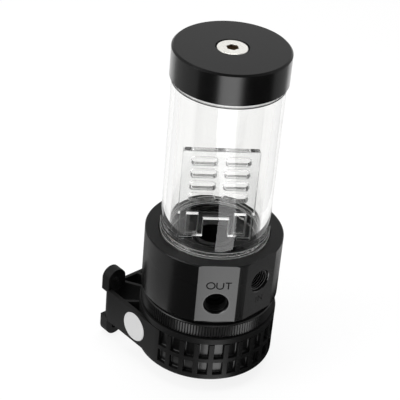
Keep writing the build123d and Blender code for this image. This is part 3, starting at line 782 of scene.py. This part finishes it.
def card_material(name, strength):
    """Shows in a reflection only, also in one that passes through the tube afterwards."""
    material, tree, shader = new_material(name)
    tree.nodes.remove(shader)
    path = add(tree, "LightPath", {})
    reflected = add(tree, "Math", [path.outputs["Glossy Depth"], 0.5], operation="GREATER_THAN")
    glow = add(tree, "Emission", {"Color": grey(1.0), "Strength": strength})
    nothing = add(tree, "BsdfTransparent", {"Color": grey(1.0)})
    mixed = add(tree, "MixShader", [reflected.outputs[0], nothing.outputs[0], glow.outputs[0]])
    tree.links.new(mixed.outputs[0], tree.nodes["Material Output"].inputs["Surface"])
    return material


def standing(azimuth, distance, half_width, low, high):
    """The corners of an upright card that faces the pump."""
    angle = math.radians(azimuth)
    foot = pump_axis + around(distance, angle, low)
    head = pump_axis + around(distance, angle, high)
    side = around(half_width, angle + math.pi / 2)
    return [foot - side, foot + side, head + side, head - side]


def overhead(half_width, height):
    """The corners of a level card above the pump."""
    spots = ((-1, -1), (1, -1), (1, 1), (-1, 1))
    return [pump_axis + Vector((half_width * x, half_width * y, height)) for x, y in spots]


def make_card(name, corners, strength, first_only=True):
    """A reflector card that only gloss shows: bright for a highlight, dark to keep black surfaces black.

    Some show only in the first reflection, the others also in one seen through the tube's wall.
    """
    mesh = bmesh.new()
    mesh.faces.new([mesh.verts.new(corner) for corner in corners])
    card = put_in_scene(name, mesh, card_material(name, strength))
    card.visible_camera = False
    card.visible_diffuse = False
    card.visible_shadow = False
    card.visible_transmission = not first_only


def floor_band(rows, height):
    """The outline of a bent card above the floor, from rows of distance and its two azimuths."""
    right = [(distance, high) for distance, low, high in rows]
    left = [(distance, low) for distance, low, high in reversed(rows)]
    return [pump_axis + around(distance, math.radians(azimuth), floor_z + height)
            for distance, azimuth in right + left]


def floor_sector(low_azimuth, high_azimuth, near, far, height):
    """The outline of a fan-shaped card above the floor."""
    return floor_band([(near, low_azimuth, high_azimuth), (far, low_azimuth, high_azimuth)], height)


def make_soft_box(name, stand, size, power):
    """A square soft box aimed at the middle of the pump."""
    lamp = bpy.data.lights.new(name, "AREA")
    lamp.shape = "RECTANGLE"
    lamp.size = size
    lamp.size_y = size
    lamp.energy = power
    box = bpy.data.objects.new(name, lamp)
    bpy.context.scene.collection.objects.link(box)
    box.location = stand
    box.rotation_euler = (pump_middle - stand).to_track_quat("-Z", "Y").to_euler()
    box.visible_camera = False


def make_world():
    """White to look at, and a plain weaker light on the object."""
    world = bpy.data.worlds.new("studio")
    bpy.context.scene.world = world
    world.use_nodes = True
    tree = world.node_tree
    strength = add(tree, "MapRange", {"Value": background_rays(tree), "To Min": 0.55, "To Max": 1.0})
    back = tree.nodes["Background"]
    back.inputs["Color"].default_value = grey(1.0)
    tree.links.new(strength.outputs[0], back.inputs["Strength"])


def make_camera():
    """The camera, turned by its pan, tilt and roll."""
    data = bpy.data.cameras.new("photo_camera")
    data.lens = camera_lens
    data.sensor_width = sensor_width
    camera = bpy.data.objects.new("photo_camera", data)
    bpy.context.scene.collection.objects.link(camera)
    level = around(1.0, camera_pan)
    ahead = around(math.cos(camera_tilt), camera_pan + math.pi / 2, -math.sin(camera_tilt))
    upright = level.cross(ahead)
    right = math.cos(camera_roll) * level + math.sin(camera_roll) * upright
    up = -math.sin(camera_roll) * level + math.cos(camera_roll) * upright
    turn = Matrix((right, up, -ahead)).transposed().to_4x4()
    camera.matrix_world = Matrix.Translation(camera_place) @ turn
    bpy.context.scene.camera = camera


make_floor()
make_world()
make_camera()
make_soft_box("top_box", Vector((0.05, 0.0, 1.15)), size=0.7, power=9.0)
make_soft_box("left_box", Vector((-0.9, 0.2, 0.7)), size=0.6, power=6.0)

# The card that draws the bright bands. Each row is a distance from the pump's axis and two azimuths.
bright_rows = [(0.03, -135, -108), (0.09, -133, -106), (0.14, -131, -96), (0.19, -129, -94),
               (0.24, -134, -104), (0.3, -149, -113), (1.2, -155, -116)]
make_card("bright_front", floor_band(bright_rows, 0.004), 3.6)

# Fan-shaped cards: two azimuths, two distances, height, strength, and whether only the first reflection
# shows them
floor_cards = {
    "dark_left_near": (168, 214, 0.06, 0.24, 0.001, 0.0, False),
    "dark_middle_near": (-146, -108, 0.06, 0.24, 0.001, 0.0, False),
    "dark_right_near": (-108, -46, 0.06, 0.4, 0.001, 0.0, False),
    "dark_left_far": (168, 214, 0.24, 1.2, 0.001, 0.0, True),
    "dark_right_far": (-108, -46, 0.4, 1.2, 0.001, 0.0, True),
    "grey_left_near": (100, 168, 0.1, 0.2, 0.001, 0.33, True),
    "grey_left_far": (100, 168, 0.2, 1.2, 0.001, 0.4, True),
    "grey_right": (-84, -40, 0.08, 0.16, 0.003, 0.32, True),
    "grey_right_far": (-46, 0, 0.2, 1.2, 0.001, 0.32, True),
    "grey_right_near": (-46, 20, 0.1, 0.17, 0.001, 0.3, True),
    "grey_behind": (20, 100, 0.1, 0.17, 0.001, 0.2, True),
}
for name, (low, high, near, far, height, strength, first_only) in floor_cards.items():
    make_card(name, floor_sector(low, high, near, far, height), strength, first_only)

# Dark cards close round the cup, overhead and in front
for start in range(-108, 100, 36):
    make_card(f"dark_near_{start + 108}", floor_sector(start, start + 36, 0.02, 0.1, 0.002), 0.0)
make_card("dark_ceiling", overhead(half_width=0.8, height=1.2), 0.0)
make_card("dark_front", standing(azimuth=-127, distance=0.8, half_width=0.9, low=0.02, high=1.2), 0.0)

bpy.context.scene.view_settings.view_transform = "Standard"
